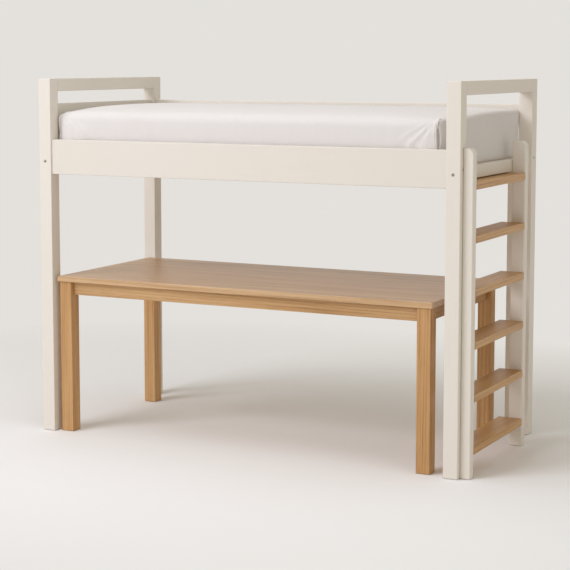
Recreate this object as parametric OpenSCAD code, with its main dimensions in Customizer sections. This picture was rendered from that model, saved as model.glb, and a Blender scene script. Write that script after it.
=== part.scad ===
// Cabin bed: a high single bed on four square posts, with a fixed ladder on its right end
// and an oak desk that stands free beneath it and pulls out towards the front.
// Millimetres. +X runs from the left end to the ladder, +Y from front to rear, +Z up.
// The origin is on the floor, in the middle of the bed with its ladder.
// Inside the modules X starts at the bed's left face and Y at its front face: see in_bed().

/* [Bed frame] */
// Length over the posts, without the ladder
bed_l = 2140; // [1900:1:2400]
// Width over the posts
bed_w = 1010; // [850:1:1300]
// Side of a square post
post_w = 66; // [60:1:90]
// Clear height under the side rails
under_h = 1247; // [1000:1:1500]
// Height of a side rail
side_rail_h = 164; // [130:1:220]
// Thickness of a side rail
side_rail_t = 40; // [34:1:44]
// How far a side rail lies behind the face of its posts
side_rail_set = 8; // [2:1:12]
// Height of an end rail, which carries the ladder's head
end_rail_h = 54; // [46:1:70]
// Thickness of an end rail
end_rail_t = 48; // [30:1:48]
// How far an end rail lies behind the outer face of its posts
end_rail_set = 18; // [6:1:18]
// Thickness of a guard board
board_t = 30; // [26:1:36]
// How far the end rails' underside is above that of the side rails
end_rail_rise = 33; // [20:1:45]
// Gap below each guard board
guard_gap = 70; // [60:1:75]
// Height of the rear guard board
guard_h = 99; // [80:1:180]
// Open height between the left guard board and the top rail
hand_gap = 60; // [40:1:120]
// Height of a top rail
top_rail_h = 60; // [46:1:80]
// Thickness of the batten under the rear side rail's right end
batten_t = 51; // [30:1:60]
// Rounding of painted edges
ease = 2; // [1:0.5:4]
// Hairline left at each butt joint
joint_gap = 0.2; // [0.1:0.1:0.5]

/* [Slats and mattress] */
// Thickness of a slat
slat_t = 18; // [14:1:24]
// Width of a slat
slat_w = 70; // [50:1:95]
// Distance from slat to slat
slat_pitch = 145; // [110:1:170]
// How far the slats' top lies below the end rails' top
slat_drop = 4; // [0:1:12]
// Width of a slat ledger
ledger_w = 25; // [20:1:35]
// Height of a slat ledger
ledger_h = 30; // [24:1:40]
// Height of the mattress at its crown
mattress_h = 243; // [150:1:260]
// How much the top swells above its edge
mattress_crown = 36; // [0:1:40]
// Rounding of the mattress's top edge
mattress_edge_r = 36; // [20:1:60]
// Rounding of the mattress's corners in plan
mattress_corner_r = 20; // [8:1:80]
// Rounding of its front right corner, where the sheet is tucked in last
mattress_tuck_r = 50; // [8:1:80]
// How far the long sides draw in at mid length
mattress_draw = 5; // [0:1:12]
// Gap from the mattress to the posts at each end
mattress_end_gap = 2; // [2:1:40]
// Gap from the mattress to each side rail
mattress_side_gap = 7; // [3:1:40]

/* [Ladder] */
// Number of treads
tread_count = 6; // [4:1:7]
// Height of the lowest tread's top
first_tread_h = 132; // [90:1:200]
// Thickness of a tread
tread_t = 32; // [24:1:40]
// Depth of a tread, front to back
tread_d = 113; // [90:1:114]
// Gap between the top tread and the end rail above it
tread_rail_gap = 5.5; // [2:0.5:20]
// Width of a tread, between the stiles
tread_w = 639; // [400:1:700]
// Width of a stile across the ladder
stile_w = 45; // [36:1:50]
// Depth of the front stile, which stands out from the post
stile_d = 47; // [40:1:70]
// How far the front stile lies behind the front of the bed
stile_set = 28; // [22:1:32]
// How far the stiles reach above the side rails
stile_over = 9; // [0:1:60]
// Radius of the stiles' outer top corner
stile_round = 32; // [10:1:38]
// Rounding of the stiles' long edges
stile_ease = 6; // [2:1:10]

/* [Desk] */
// Height of the desk top's surface
desk_h = 755; // [700:1:900]
// Thickness of the desk top
desk_top_t = 26; // [20:1:40]
// Depth of the desk top, front to rear
desk_d = 842; // [600:1:880]
// Gap from the desk top to the left posts
desk_left_gap = 14; // [6:1:120]
// Gap from the desk top to the right posts
desk_right_gap = 64; // [6:1:160]
// How far the desk top's edge lies behind the front of the bed
desk_set = 19; // [0:1:60]
// Side of a square desk leg
leg_w = 64; // [50:1:80]
// How far the desk top reaches past the legs
desk_over = 9; // [0:1:40]
// Height of an apron
apron_h = 63; // [58:1:110]
// Thickness of an apron
apron_t = 22; // [18:1:28]
// How far an apron lies behind the face of its legs
apron_set = 21; // [4:1:24]
// Rounding of the oak edges
oak_ease = 2; // [1:0.5:4]

/* [Fittings] */
// Diameter of the frame bolts
bolt_d = 8; // [6:1:10]
// Diameter of a bolt's head
bolt_head_d = 13; // [12:1:16]
// Height of a bolt's head
bolt_head_h = 8; // [5:1:8]
// How far a bolt's head lies below the wood
bolt_sink = 1; // [0.5:0.5:3]
// Diameter of the barrel nuts
barrel_d = 14; // [13:1:16]
// Length of the barrel nuts
barrel_l = 18; // [14:1:20]
// Distance from a rail's end to its barrel nut
barrel_in = 36; // [28:1:60]
// Diameter of the threaded inserts in the stiles
insert_d = 12; // [11:1:14]
// Length of the threaded inserts
insert_l = 22; // [14:1:28]
// Diameter of the dowels
dowel_d = 10; // [6:1:12]
// Length of the dowels
dowel_l = 56; // [36:2:58]
// Diameter of the wood screws
screw_d = 4; // [3:0.5:5]
// Diameter of the wood screws' heads
screw_head_d = 8; // [7:0.5:9]
// Thickness of the floor glides
glide_t = 2; // [1:0.5:5]
// Diameter of the floor glides
glide_d = 32; // [20:1:36]
// Thickness of the desk's steel brackets
bracket_t = 2.5; // [2:0.5:4]

/* [Hidden] */
$fn = 48;
paint = "#DED4C6";
oak = "#C1935B";
steel = "#A9A9A6";
beech = "#D8B98A";
linen = "#ECE9E7";
nylon = "#E8E6E0";

// Slack between a fitting and the hole it sits in, on the diameter
play = 0.2;
// Slack of a bolt's shank in wood, on the diameter
bolt_play = 0.6;
// Slack round a bolt's head, on the diameter
head_play = 1;
// How far a cut runs past the face it opens
past = 1;
// Corner to corner of the hexagon socket in a bolt's head
bolt_socket_d = 0.46 * bolt_head_d / cos(30);
// The end rails' dowels are smaller than the others
end_dowel_d = dowel_d - 2;
end_dowel_l = dowel_l - 16;
// Wood left below an end rail's dowel
end_dowel_floor = 5;
// How much deeper than a dowel its two holes are together, for each unit of slack
dowel_end_play = 5;
// Gap under the mattress, and above anything soft
soft_gap = 0.3;

// Heights of the frame
side_rail_top = under_h + side_rail_h;
guard_top = side_rail_top + guard_gap + guard_h;
bed_h = guard_top + hand_gap + top_rail_h;
end_rail_z = under_h + end_rail_rise;
end_rail_top = end_rail_z + end_rail_h;
slat_top = end_rail_top - slat_drop;

// Places across the frame, measured in from a corner's outer faces
side_middle_y = side_rail_set + side_rail_t / 2;
side_axis_y = post_w / 2;
side_inner_y = side_rail_set + side_rail_t;
board_x = (post_w - board_t) / 2;
end_axis_x = post_w / 2;
side_axis_z = under_h + side_rail_h / 2;
end_axis_z = end_rail_z + end_rail_h / 2;
side_dowel_dz = side_rail_h / 2 - 2 * dowel_d;
top_dowel_dx = post_w / 2 - 1.5 * dowel_d;

// Ladder
stile_x = bed_l;
ladder_x = stile_x + stile_d;
rear_stile_x = bed_l - end_rail_set;
rear_stile_y = stile_set + stile_w + tread_w;
stile_top = side_rail_top + stile_over;
tread_x = ladder_x - tread_d;
top_tread_h = end_rail_z - tread_rail_gap;
tread_pitch = (top_tread_h - first_tread_h) / (tread_count - 1);
stile_bolt_y = (stile_set + post_w) / 2;
// The front stile's bolts: halfway up to the next tread, above the first and the last but one
stile_bolt_treads = [1, tread_count - 1];
rear_stile_bolt_gap = stile_w / 2;
// Two dowels hold each end of a tread, measured in from the ladder's outer face
tread_dowel_in = [1.2 * dowel_d, 3 * dowel_d];

// Mattress
mattress_l = bed_l - 2 * (post_w + mattress_end_gap);
mattress_w = bed_w - 2 * (side_inner_y + mattress_side_gap);

// Slats
ledger_play = 2;
slat_play = 3;
slat_l = bed_w - 2 * (side_inner_y + slat_play);
slat_span = bed_l - 2 * (post_w + ledger_play) - slat_w;
slat_count = floor(slat_span / slat_pitch) + 1;
slat_x0 = bed_l / 2 - (slat_count - 1) * slat_pitch / 2;
ledger_z = slat_top - slat_t - ledger_h;
ledger_screw_l = 45;
ledger_screw_count = 7;
slat_screw_l = 35;

// Batten
batten_screw_l = 85;
batten_screw_z = [0.1, 0.4, 0.7, 0.93];

// Desk
desk_x0 = post_w + desk_left_gap;
desk_x1 = bed_l - post_w - desk_right_gap;
desk_y1 = desk_set + desk_d;
leg_x0 = desk_x0 + desk_over;
leg_x1 = desk_x1 - desk_over;
leg_y0 = desk_set + desk_over;
leg_y1 = desk_y1 - desk_over;
desk_under = desk_h - desk_top_t;
apron_z = desk_under - apron_h;
apron_inner = apron_set + apron_t;
bracket_gap = 12;
bracket_h = 44;
bracket_flange = 26;
bracket_reach = 2 * leg_w + bracket_gap * sqrt(2) - apron_inner;
bracket_z = desk_under - (apron_h + bracket_h) / 2;
hanger_in = 34;
clip_leg = 22;
clip_w = 24;
clip_t = 2;
clip_count = 3;
clip_screw_l = 16;

// Every corner of a rectangle: name, 1 for the right end, 1 for the rear
corners = [["front_left", 0, 0], ["rear_left", 0, 1], ["front_right", 1, 0], ["rear_right", 1, 1]];

// ---------- Frames of reference ----------

// From the bed's left front corner to the origin in the middle of the footprint
module in_bed() translate([-ladder_x / 2, -bed_w / 2, 0]) children();

// One corner of the bed: x and y then run inwards from the post's outer faces
module bed_corner(right, back)
    translate([right * bed_l, back * bed_w, 0]) mirror([right, 0, 0]) mirror([0, back, 0]) children();

// One corner of the desk: x and y then run inwards from the leg's outer faces
module desk_corner(right, back)
    translate([right ? leg_x1 : leg_x0, back ? leg_y1 : leg_y0, 0])
    mirror([right, 0, 0]) mirror([0, back, 0]) children();

// Turns a piece that stands along Z to lie along X or along Y
module along_x() rotate([0, 90, 0]) children();
module along_y() rotate([-90, 0, 0]) children();

// ---------- Shared shapes ----------

// A rectangle with round corners, from [0, 0] to its size
module round_rect(size, r) {
    translate([r, 0]) square([size[0] - 2 * r, size[1]]);
    translate([0, r]) square([size[0], size[1] - 2 * r]);
    for (x = [r, size[0] - r], y = [r, size[1] - r]) translate([x, y]) circle(r);
}

// A bar along X, Y or Z whose long edges are eased and whose ends are square
module bar_x(size, r)
    translate([0, 0, size[2]]) along_x() linear_extrude(size[0]) round_rect([size[2], size[1]], r);
module bar_y(size, r)
    translate([0, 0, size[2]]) along_y() linear_extrude(size[1]) round_rect([size[0], size[2]], r);
module bar_z(size, r) linear_extrude(size[2]) round_rect([size[0], size[1]], r);

// A post with eased edges at its top too
module eased_post(size, r) intersection() {
    bar_z(size, r);
    bar_x([size[0], size[1], size[2]], r);
    bar_y([size[0], size[1], size[2]], r);
}

// ---------- Fittings ----------

// A socket-head bolt along Z: its head's top is at z = 0 and its shank points up
module cap_bolt(length) {
    difference() {
        cylinder(d = bolt_head_d, h = bolt_head_h);
        translate([0, 0, -past]) cylinder(d = bolt_socket_d, h = past + bolt_head_h / 2, $fn = 6);
    }
    translate([0, 0, bolt_head_h]) cylinder(d = bolt_d, h = length - bolt_head_h);
}

// The bore for that bolt, opened at the face that its head lies below
module cap_bolt_bore(length) {
    translate([0, 0, -bolt_sink - past])
        cylinder(d = bolt_head_d + head_play, h = bolt_sink + past + bolt_head_h);
    cylinder(d = bolt_d + bolt_play, h = length + past);
}

// A countersunk wood screw along Z: flush at z = 0, its point up
module wood_screw(length) {
    head_h = (screw_head_d - screw_d) / 2;
    cylinder(d1 = screw_head_d, d2 = screw_d, h = head_h);
    translate([0, 0, head_h]) cylinder(d = screw_d, h = length - head_h);
}

// The hole that the screw fills
module wood_screw_bore(length) {
    head_h = (screw_head_d - screw_d) / 2;
    cylinder(d1 = screw_head_d + play, d2 = screw_d + play, h = head_h);
    cylinder(d = screw_d + play, h = length + past);
}

// ---------- Frame joints, placed in a bed corner ----------

side_bolt_l = post_w + barrel_in + barrel_d / 2 - bolt_sink;

module side_bolt()
    translate([bolt_sink, side_axis_y, side_axis_z]) along_x() cap_bolt(side_bolt_l);
module side_bolt_bore()
    translate([bolt_sink, side_axis_y, side_axis_z]) along_x() cap_bolt_bore(side_bolt_l);
module side_barrel(grow = 0)
    translate([post_w + barrel_in, side_axis_y - barrel_l / 2, side_axis_z])
    along_y() cylinder(d = barrel_d + grow, h = barrel_l + (grow > 0 ? side_rail_t : 0));

module end_bolt()
    translate([end_axis_x, bolt_sink, end_axis_z]) along_y() cap_bolt(side_bolt_l);
module end_bolt_bore()
    translate([end_axis_x, bolt_sink, end_axis_z]) along_y() cap_bolt_bore(side_bolt_l);
module end_barrel(grow = 0)
    translate([end_axis_x - barrel_l / 2, post_w + barrel_in, end_axis_z])
    along_x() cylinder(d = barrel_d + grow, h = barrel_l + (grow > 0 ? end_rail_t : 0));

module dowel(grow) cylinder(d = dowel_d + grow, h = dowel_l + dowel_end_play * grow, center = true);

module side_dowels(grow = 0)
    for (dz = [-1, 1])
        translate([post_w, side_middle_y, side_axis_z + dz * side_dowel_dz]) along_x() dowel(grow);
module end_dowel(grow = 0)
    translate([end_axis_x, post_w, end_rail_z + end_dowel_floor + end_dowel_d / 2])
    along_y() cylinder(d = end_dowel_d + grow, h = end_dowel_l + dowel_end_play * grow, center = true);
module top_dowels(grow = 0)
    for (dx = [-1, 1])
        translate([end_axis_x + dx * top_dowel_dx, post_w, bed_h - top_rail_h / 2]) along_y() dowel(grow);
module left_guard_dowels(grow = 0)
    for (z = [end_rail_top + guard_gap + 2 * dowel_d, guard_top - 2 * dowel_d])
        translate([end_axis_x, post_w, z]) along_y() dowel(grow);
module rear_guard_dowels(grow = 0)
    for (z = [side_rail_top + guard_gap + 2 * dowel_d, guard_top - 2 * dowel_d])
        translate([post_w, end_axis_x, z]) along_x() dowel(grow);

// ---------- Ladder and batten joints ----------

ladder_bolt_l = post_w + insert_l - bolt_sink;
rear_bolt_l = end_rail_t + insert_l - bolt_sink;

// Places one piece at each bolt that holds the front stile to its post
module at_front_stile_bolts()
    for (i = stile_bolt_treads)
        translate([bed_l - post_w + bolt_sink, stile_bolt_y, tread_top(i) + (tread_pitch - tread_t) / 2])
        along_x() children();

// Places one piece at each bolt that holds the rear stile to the right end rail
module at_rear_stile_bolts()
    for (dy = [-1, 1])
        translate([rear_stile_x - end_rail_t + bolt_sink,
                   rear_stile_y + stile_w / 2 + dy * rear_stile_bolt_gap / 2, end_axis_z])
        along_x() children();

// The threaded insert round the far end of a ladder bolt
module insert_at(length, grow = 0)
    translate([0, 0, length - insert_l]) difference() {
        cylinder(d = insert_d + grow, h = insert_l + dowel_end_play * grow);
        if (grow == 0) translate([0, 0, -past]) cylinder(d = bolt_d + play, h = insert_l + 2 * past);
    }

// The dowels of one tread, half in the tread and half in a stile
module tread_dowel_pegs(i, grow = 0)
    for (inset = tread_dowel_in, y = [stile_set + stile_w, rear_stile_y])
        translate([ladder_x - inset, y, tread_top(i) - tread_t / 2]) along_y() dowel(grow);

module at_batten_screws()
    for (share = batten_screw_z)
        translate([bed_l - post_w - batten_t, bed_w - post_w / 2, share * under_h]) along_x() children();

function tread_top(i) = first_tread_h + (i - 1) * tread_pitch;

// ---------- Bed frame ----------

module post(right, back) {
    color(paint) in_bed() difference() {
        bed_corner(right, back) difference() {
            translate([0, 0, glide_t]) eased_post([post_w, post_w, bed_h - glide_t], ease);
            side_bolt_bore();
            end_bolt_bore();
            side_dowels(play);
            end_dowel(play);
            top_dowels(play);
            if (!right) left_guard_dowels(play);
            if (back) rear_guard_dowels(play);
        }
        if (right && !back) at_front_stile_bolts() cap_bolt_bore(ladder_bolt_l);
        if (right && back) at_batten_screws() wood_screw_bore(batten_screw_l);
    }
}

module top_rail(right) {
    y0 = post_w + joint_gap;
    color(paint) in_bed() difference() {
        bed_corner(right, 0) translate([0, y0, bed_h - top_rail_h])
            bar_y([post_w, bed_w - 2 * y0, top_rail_h], ease);
        for (back = [0, 1]) bed_corner(right, back) top_dowels(play);
    }
}

module end_rail(right) {
    y0 = post_w + joint_gap;
    color(paint) in_bed() difference() {
        bed_corner(right, 0) translate([end_rail_set, y0, end_rail_z])
            bar_y([end_rail_t, bed_w - 2 * y0, end_rail_h], ease);
        for (back = [0, 1]) bed_corner(right, back) {
            end_bolt_bore();
            end_barrel(play);
            end_dowel(play);
        }
        if (right) at_rear_stile_bolts() cap_bolt_bore(rear_bolt_l);
    }
}

module side_rail(back) {
    x0 = post_w + joint_gap;
    color(paint) in_bed() difference() {
        bed_corner(0, back) translate([x0, side_rail_set, under_h])
            bar_x([bed_l - 2 * x0, side_rail_t, side_rail_h], ease);
        for (right = [0, 1]) bed_corner(right, back) {
            side_bolt_bore();
            side_barrel(play);
            side_dowels(play);
        }
        at_ledger_screws(back) wood_screw_bore(ledger_screw_l);
    }
}

module left_guard_board() {
    y0 = post_w + joint_gap;
    z0 = end_rail_top + guard_gap;
    color(paint) in_bed() difference() {
        translate([board_x, y0, z0]) bar_y([board_t, bed_w - 2 * y0, guard_top - z0], ease);
        for (back = [0, 1]) bed_corner(0, back) left_guard_dowels(play);
    }
}

module rear_guard_board() {
    x0 = post_w + joint_gap;
    color(paint) in_bed() difference() {
        bed_corner(0, 1) translate([x0, board_x, side_rail_top + guard_gap])
            bar_x([bed_l - 2 * x0, board_t, guard_h], ease);
        for (right = [0, 1]) bed_corner(right, 1) rear_guard_dowels(play);
    }
}

module rear_right_batten() {
    color(paint) in_bed() difference() {
        bed_corner(1, 1) translate([post_w, 0, glide_t]) bar_z([batten_t, post_w, under_h - glide_t], ease);
        at_batten_screws() wood_screw_bore(batten_screw_l);
    }
}

// ---------- Slats and mattress ----------

// Places one piece at each screw that holds a ledger to its side rail
module at_ledger_screws(back) {
    first_x = post_w + 3 * barrel_in;
    step = (bed_l - 2 * first_x) / (ledger_screw_count - 1);
    bed_corner(0, back)
        for (i = [0:ledger_screw_count - 1])
            translate([first_x + i * step, side_inner_y + ledger_w, ledger_z + ledger_h / 2])
            mirror([0, 1, 0]) along_y() children();
}

// Places one piece at each screw that holds a slat to one ledger
module at_slat_screws(back)
    bed_corner(0, back)
        for (i = [0:slat_count - 1])
            translate([slat_x0 + i * slat_pitch, side_inner_y + ledger_w / 2 + slat_play / 2, slat_top])
            mirror([0, 0, 1]) children();

module slat_ledger(back) {
    x0 = post_w + ledger_play;
    color(paint) in_bed() difference() {
        bed_corner(0, back) translate([x0, side_inner_y, ledger_z])
            bar_x([bed_l - 2 * x0, ledger_w, ledger_h], ease);
        at_ledger_screws(back) wood_screw_bore(ledger_screw_l);
        at_slat_screws(back) wood_screw_bore(slat_screw_l);
    }
}

module slats() {
    color(beech) in_bed() difference() {
        for (i = [0:slat_count - 1])
            translate([slat_x0 + i * slat_pitch - slat_w / 2, side_inner_y + slat_play, slat_top - slat_t])
                bar_y([slat_w, slat_l, slat_t], ease);
        for (back = [0, 1]) at_slat_screws(back) wood_screw_bore(slat_screw_l);
    }
}

// The mattress in its fitted sheet: rings of points climb the side and close in over the crown.
mattress_arc_steps = 4;
mattress_long_steps = 14;
mattress_short_steps = 7;
mattress_bottom_r = 18;
mattress_side_steps = 4;
mattress_least_r = 4;

// Points from p to q, without p and q
function between(p, q, n) = [for (i = [1:n - 1]) p + (q - p) * i / n];

// One corner of a round rectangle with half sizes a and b: it turns through quarter q
function corner_arc(a, b, r, q) =
    let (cx = (q == 0 || q == 3 ? 1 : -1) * (a - r), cy = (q < 2 ? 1 : -1) * (b - r))
    [for (j = [0:mattress_arc_steps])
        let (t = 90 * (q + j / mattress_arc_steps)) [cx + r * cos(t), cy + r * sin(t)]];

// The corner radius in quarter q: the quarters run anticlockwise from the rear right
function corner_r(q) = q == 3 ? mattress_tuck_r : mattress_corner_r;

// The whole outline, with the same number of points at every inset
function outline(inset) =
    let (a = mattress_l / 2 - inset, b = mattress_w / 2 - inset)
    let (arcs = [for (q = [0:3]) corner_arc(a, b, max(corner_r(q) - inset, mattress_least_r), q)])
    let (last = mattress_arc_steps)
    [for (q = [0:3]) each concat(arcs[q], between(arcs[q][last], arcs[(q + 1) % 4][0],
        q % 2 == 0 ? mattress_long_steps : mattress_short_steps))];

// The long sides draw in towards mid length, and the ends half as much
function drawn(p) = let (u = 2 * p[0] / mattress_l, v = 2 * p[1] / mattress_w)
    [p[0] * (1 - mattress_draw * (1 - v * v) / mattress_l),
     p[1] * (1 - 2 * mattress_draw * (1 - u * u) / mattress_w)];

// Height of the top at a point: nearly flat, and falling only close to the edge
function crown_z(p) = let (u = 2 * p[0] / mattress_l, v = 2 * p[1] / mattress_w)
    mattress_h - mattress_crown + mattress_crown * (1 - pow(u, 12)) * (1 - pow(v, 4));

mattress_low = [for (j = [0:2]) let (t = 45 * j)
    [mattress_bottom_r * (1 - sin(t)), mattress_bottom_r * (1 - cos(t))]];
mattress_high = [for (j = [0:4]) let (t = 22.5 * j)
    [mattress_edge_r * (1 - cos(t)), mattress_h - mattress_crown - mattress_edge_r * (1 - sin(t))]];
mattress_side = [for (j = [1:mattress_side_steps - 1])
    [0, mattress_low[2][1] + (mattress_high[0][1] - mattress_low[2][1]) * j / mattress_side_steps]];
mattress_profile = concat(mattress_low, mattress_side, mattress_high);
mattress_top_shares = [0.97, 0.91, 0.82, 0.65, 0.35];

mattress_rings = concat(
    [for (s = mattress_profile) [for (p = outline(s[0])) let (d = drawn(p)) [d[0], d[1], s[1]]]],
    [for (k = mattress_top_shares) [for (p = outline(mattress_edge_r))
        let (d = drawn(p) * k) [d[0], d[1], crown_z(d)]]]
);

module mattress() {
    count = len(mattress_rings[0]);
    last = len(mattress_rings) - 1;
    points = concat([for (ring = mattress_rings) each ring], [[0, 0, 0], [0, 0, mattress_h]]);
    low_mid = len(points) - 2;
    high_mid = len(points) - 1;
    walls = [for (k = [0:last - 1], i = [0:count - 1]) let (j = (i + 1) % count, a = k * count)
        each [[a + i, a + count + i, a + count + j], [a + i, a + count + j, a + j]]];
    floor_faces = [for (i = [0:count - 1]) [low_mid, i, (i + 1) % count]];
    top_faces = [for (i = [0:count - 1]) [high_mid, last * count + (i + 1) % count, last * count + i]];
    color(linen) in_bed() translate([bed_l / 2, bed_w / 2, slat_top + soft_gap])
        polyhedron(points, concat(walls, floor_faces, top_faces));
}

// ---------- Ladder ----------

// A stile: eased long edges, and its outer top corner is a quarter round
module stile(depth) {
    height = stile_top - glide_t;
    intersection() {
        bar_z([depth, stile_w, height], stile_ease);
        translate([0, stile_w, 0]) rotate([90, 0, 0]) linear_extrude(stile_w) {
            square([depth, height - stile_round]);
            square([depth - stile_round, height]);
            translate([depth - stile_round, height - stile_round]) circle(stile_round);
        }
    }
}

module ladder_front_stile() {
    color(paint) in_bed() difference() {
        translate([stile_x + joint_gap, stile_set, glide_t]) stile(stile_d - joint_gap);
        at_front_stile_bolts() insert_at(ladder_bolt_l, play);
        for (i = [1:tread_count]) tread_dowel_pegs(i, play);
    }
}

module ladder_rear_stile() {
    color(paint) in_bed() difference() {
        translate([rear_stile_x + joint_gap, rear_stile_y, glide_t])
            stile(ladder_x - rear_stile_x - joint_gap);
        at_rear_stile_bolts() insert_at(rear_bolt_l, play);
        for (i = [1:tread_count]) tread_dowel_pegs(i, play);
    }
}

module ladder_tread(i) {
    color(oak) in_bed() difference() {
        translate([tread_x, stile_set + stile_w + joint_gap, tread_top(i) - tread_t])
            bar_y([tread_d, tread_w - 2 * joint_gap, tread_t], oak_ease);
        tread_dowel_pegs(i, play);
    }
}

// ---------- Bed fittings ----------

module side_rail_bolts() color(steel) in_bed() for (c = corners) bed_corner(c[1], c[2]) side_bolt();
module end_rail_bolts() color(steel) in_bed() for (c = corners) bed_corner(c[1], c[2]) end_bolt();

module barrel_nuts() {
    thread_d = bolt_d + play;
    color(steel) in_bed() for (c = corners) bed_corner(c[1], c[2]) {
        difference() {
            side_barrel();
            translate([0, side_axis_y, side_axis_z]) along_x() cylinder(d = thread_d, h = 3 * post_w);
        }
        difference() {
            end_barrel();
            translate([end_axis_x, 0, end_axis_z]) along_y() cylinder(d = thread_d, h = 3 * post_w);
        }
    }
}

module side_rail_dowels() color(beech) in_bed() for (c = corners) bed_corner(c[1], c[2]) side_dowels();
module end_rail_dowels() color(beech) in_bed() for (c = corners) bed_corner(c[1], c[2]) end_dowel();
module top_rail_dowels() color(beech) in_bed() for (c = corners) bed_corner(c[1], c[2]) top_dowels();

module guard_dowels() color(beech) in_bed() {
    for (back = [0, 1]) bed_corner(0, back) left_guard_dowels();
    for (right = [0, 1]) bed_corner(right, 1) rear_guard_dowels();
}

module ladder_bolts() color(steel) in_bed() {
    at_front_stile_bolts() cap_bolt(ladder_bolt_l);
    at_rear_stile_bolts() cap_bolt(rear_bolt_l);
}

module ladder_inserts() color(steel) in_bed() {
    at_front_stile_bolts() insert_at(ladder_bolt_l);
    at_rear_stile_bolts() insert_at(rear_bolt_l);
}

module tread_dowels() color(beech) in_bed() for (i = [1:tread_count]) tread_dowel_pegs(i);
module batten_screws() color(steel) in_bed() at_batten_screws() wood_screw(batten_screw_l);
module ledger_screws()
    color(steel) in_bed() for (back = [0, 1]) at_ledger_screws(back) wood_screw(ledger_screw_l);
module slat_screws()
    color(steel) in_bed() for (back = [0, 1]) at_slat_screws(back) wood_screw(slat_screw_l);

module bed_glides() color(nylon) in_bed() {
    for (c = corners) bed_corner(c[1], c[2]) translate([post_w / 2, post_w / 2, 0]) glide();
    bed_corner(1, 1) translate([post_w + batten_t / 2, post_w / 2, 0]) glide();
    for (y = [stile_set, rear_stile_y]) translate([ladder_x - stile_d / 2, y + stile_w / 2, 0]) glide();
}

module glide() cylinder(d = glide_d, h = glide_t);

// ---------- Desk ----------

// The screws that hold a corner bracket's two flanges, two in each
module at_bracket_screws()
    for (flip = [0, 1], dz = [-1, 1])
        mirror([flip, -flip, 0])
        translate([bracket_reach + bracket_flange / 2, apron_inner + bracket_t,
                   bracket_z + bracket_h / 2 + dz * bracket_h / 4])
        mirror([0, 1, 0]) along_y() children();

// Runs along the leg's diagonal, from the point where the bracket's plate crosses it
module on_diagonal()
    translate([(apron_inner + bracket_reach) / 2, (apron_inner + bracket_reach) / 2,
               bracket_z + bracket_h / 2])
    rotate([0, 0, 45]) rotate([0, 90, 0]) children();

// Places one piece at each clip: along the front and rear aprons, in from the apron's face
module at_clips()
    for (back = [0, 1], i = [0:clip_count - 1])
        translate([leg_x0 + (leg_x1 - leg_x0) * (i + 0.5) / clip_count,
                   back ? leg_y1 - apron_inner : leg_y0 + apron_inner, desk_under])
        mirror([0, back, 0]) children();

module clip_wall_screw(bore = false)
    translate([0, clip_t, -clip_leg / 2 - clip_t]) mirror([0, 1, 0]) along_y()
    if (bore) wood_screw_bore(clip_screw_l); else wood_screw(clip_screw_l);
module clip_top_screw(bore = false)
    translate([0, clip_leg / 2 + clip_t, -clip_t])
    if (bore) wood_screw_bore(clip_screw_l); else wood_screw(clip_screw_l);

module desk_top() {
    color(oak) in_bed() difference() {
        translate([desk_x0, desk_set, desk_under])
            eased_post([desk_x1 - desk_x0, desk_d, desk_top_t], oak_ease);
        at_clips() clip_top_screw(true);
    }
}

module desk_leg(right, back) {
    color(oak) in_bed() desk_corner(right, back) difference() {
        translate([0, 0, glide_t]) bar_z([leg_w, leg_w, desk_under - glide_t], oak_ease);
        on_diagonal() cylinder(d = bolt_d + play, h = 2 * (bracket_gap + hanger_in + past), center = true);
    }
}

module desk_long_apron(back) {
    x0 = leg_w + joint_gap;
    color(oak) in_bed() difference() {
        desk_corner(0, back) translate([x0, apron_set, apron_z])
            bar_x([leg_x1 - leg_x0 - 2 * x0, apron_t, apron_h], oak_ease);
        for (right = [0, 1]) desk_corner(right, back) at_bracket_screws() wood_screw_bore(clip_screw_l);
        at_clips() clip_wall_screw(true);
    }
}

module desk_short_apron(right) {
    y0 = leg_w + joint_gap;
    color(oak) in_bed() difference() {
        desk_corner(right, 0) translate([apron_set, y0, apron_z])
            bar_y([apron_t, leg_y1 - leg_y0 - 2 * y0, apron_h], oak_ease);
        for (back = [0, 1]) desk_corner(right, back) at_bracket_screws() wood_screw_bore(clip_screw_l);
    }
}

// A bent plate: a flange on each apron and a web across the leg's inner corner
module desk_corner_brackets() {
    a = apron_inner;
    b = bracket_reach;
    t = bracket_t;
    e = b + bracket_flange;
    bend = t * tan(22.5);
    color(steel) in_bed() for (c = corners) desk_corner(c[1], c[2]) difference() {
        translate([0, 0, bracket_z]) linear_extrude(bracket_h)
            polygon([[e, a], [b, a], [a, b], [a, e], [a + t, e], [a + t, b + bend], [b + bend, a + t], [e, a + t]]);
        on_diagonal() cylinder(d = bolt_d + bolt_play, h = 4 * bracket_gap, center = true);
        at_bracket_screws() wood_screw_bore(clip_screw_l);
    }
}

module desk_hanger_bolts()
    color(steel) in_bed() for (c = corners) desk_corner(c[1], c[2]) on_diagonal()
        translate([0, 0, -bracket_gap - hanger_in]) cylinder(d = bolt_d, h = 2 * bracket_gap + hanger_in);

module desk_wing_nuts() {
    nut_h = 6;
    wing_t = 3;
    color(steel) in_bed() for (c = corners) desk_corner(c[1], c[2]) on_diagonal()
        translate([0, 0, bracket_t + play]) difference() {
            union() {
                cylinder(d = bolt_head_d, h = nut_h);
                translate([-wing_t / 2, -bolt_head_d, nut_h / 2]) cube([wing_t, 2 * bolt_head_d, nut_h]);
            }
            translate([0, 0, -past]) cylinder(d = bolt_d + play, h = 3 * nut_h);
        }
}

module desk_bracket_screws()
    color(steel) in_bed() for (c = corners) desk_corner(c[1], c[2])
        at_bracket_screws() wood_screw(clip_screw_l);

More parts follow.
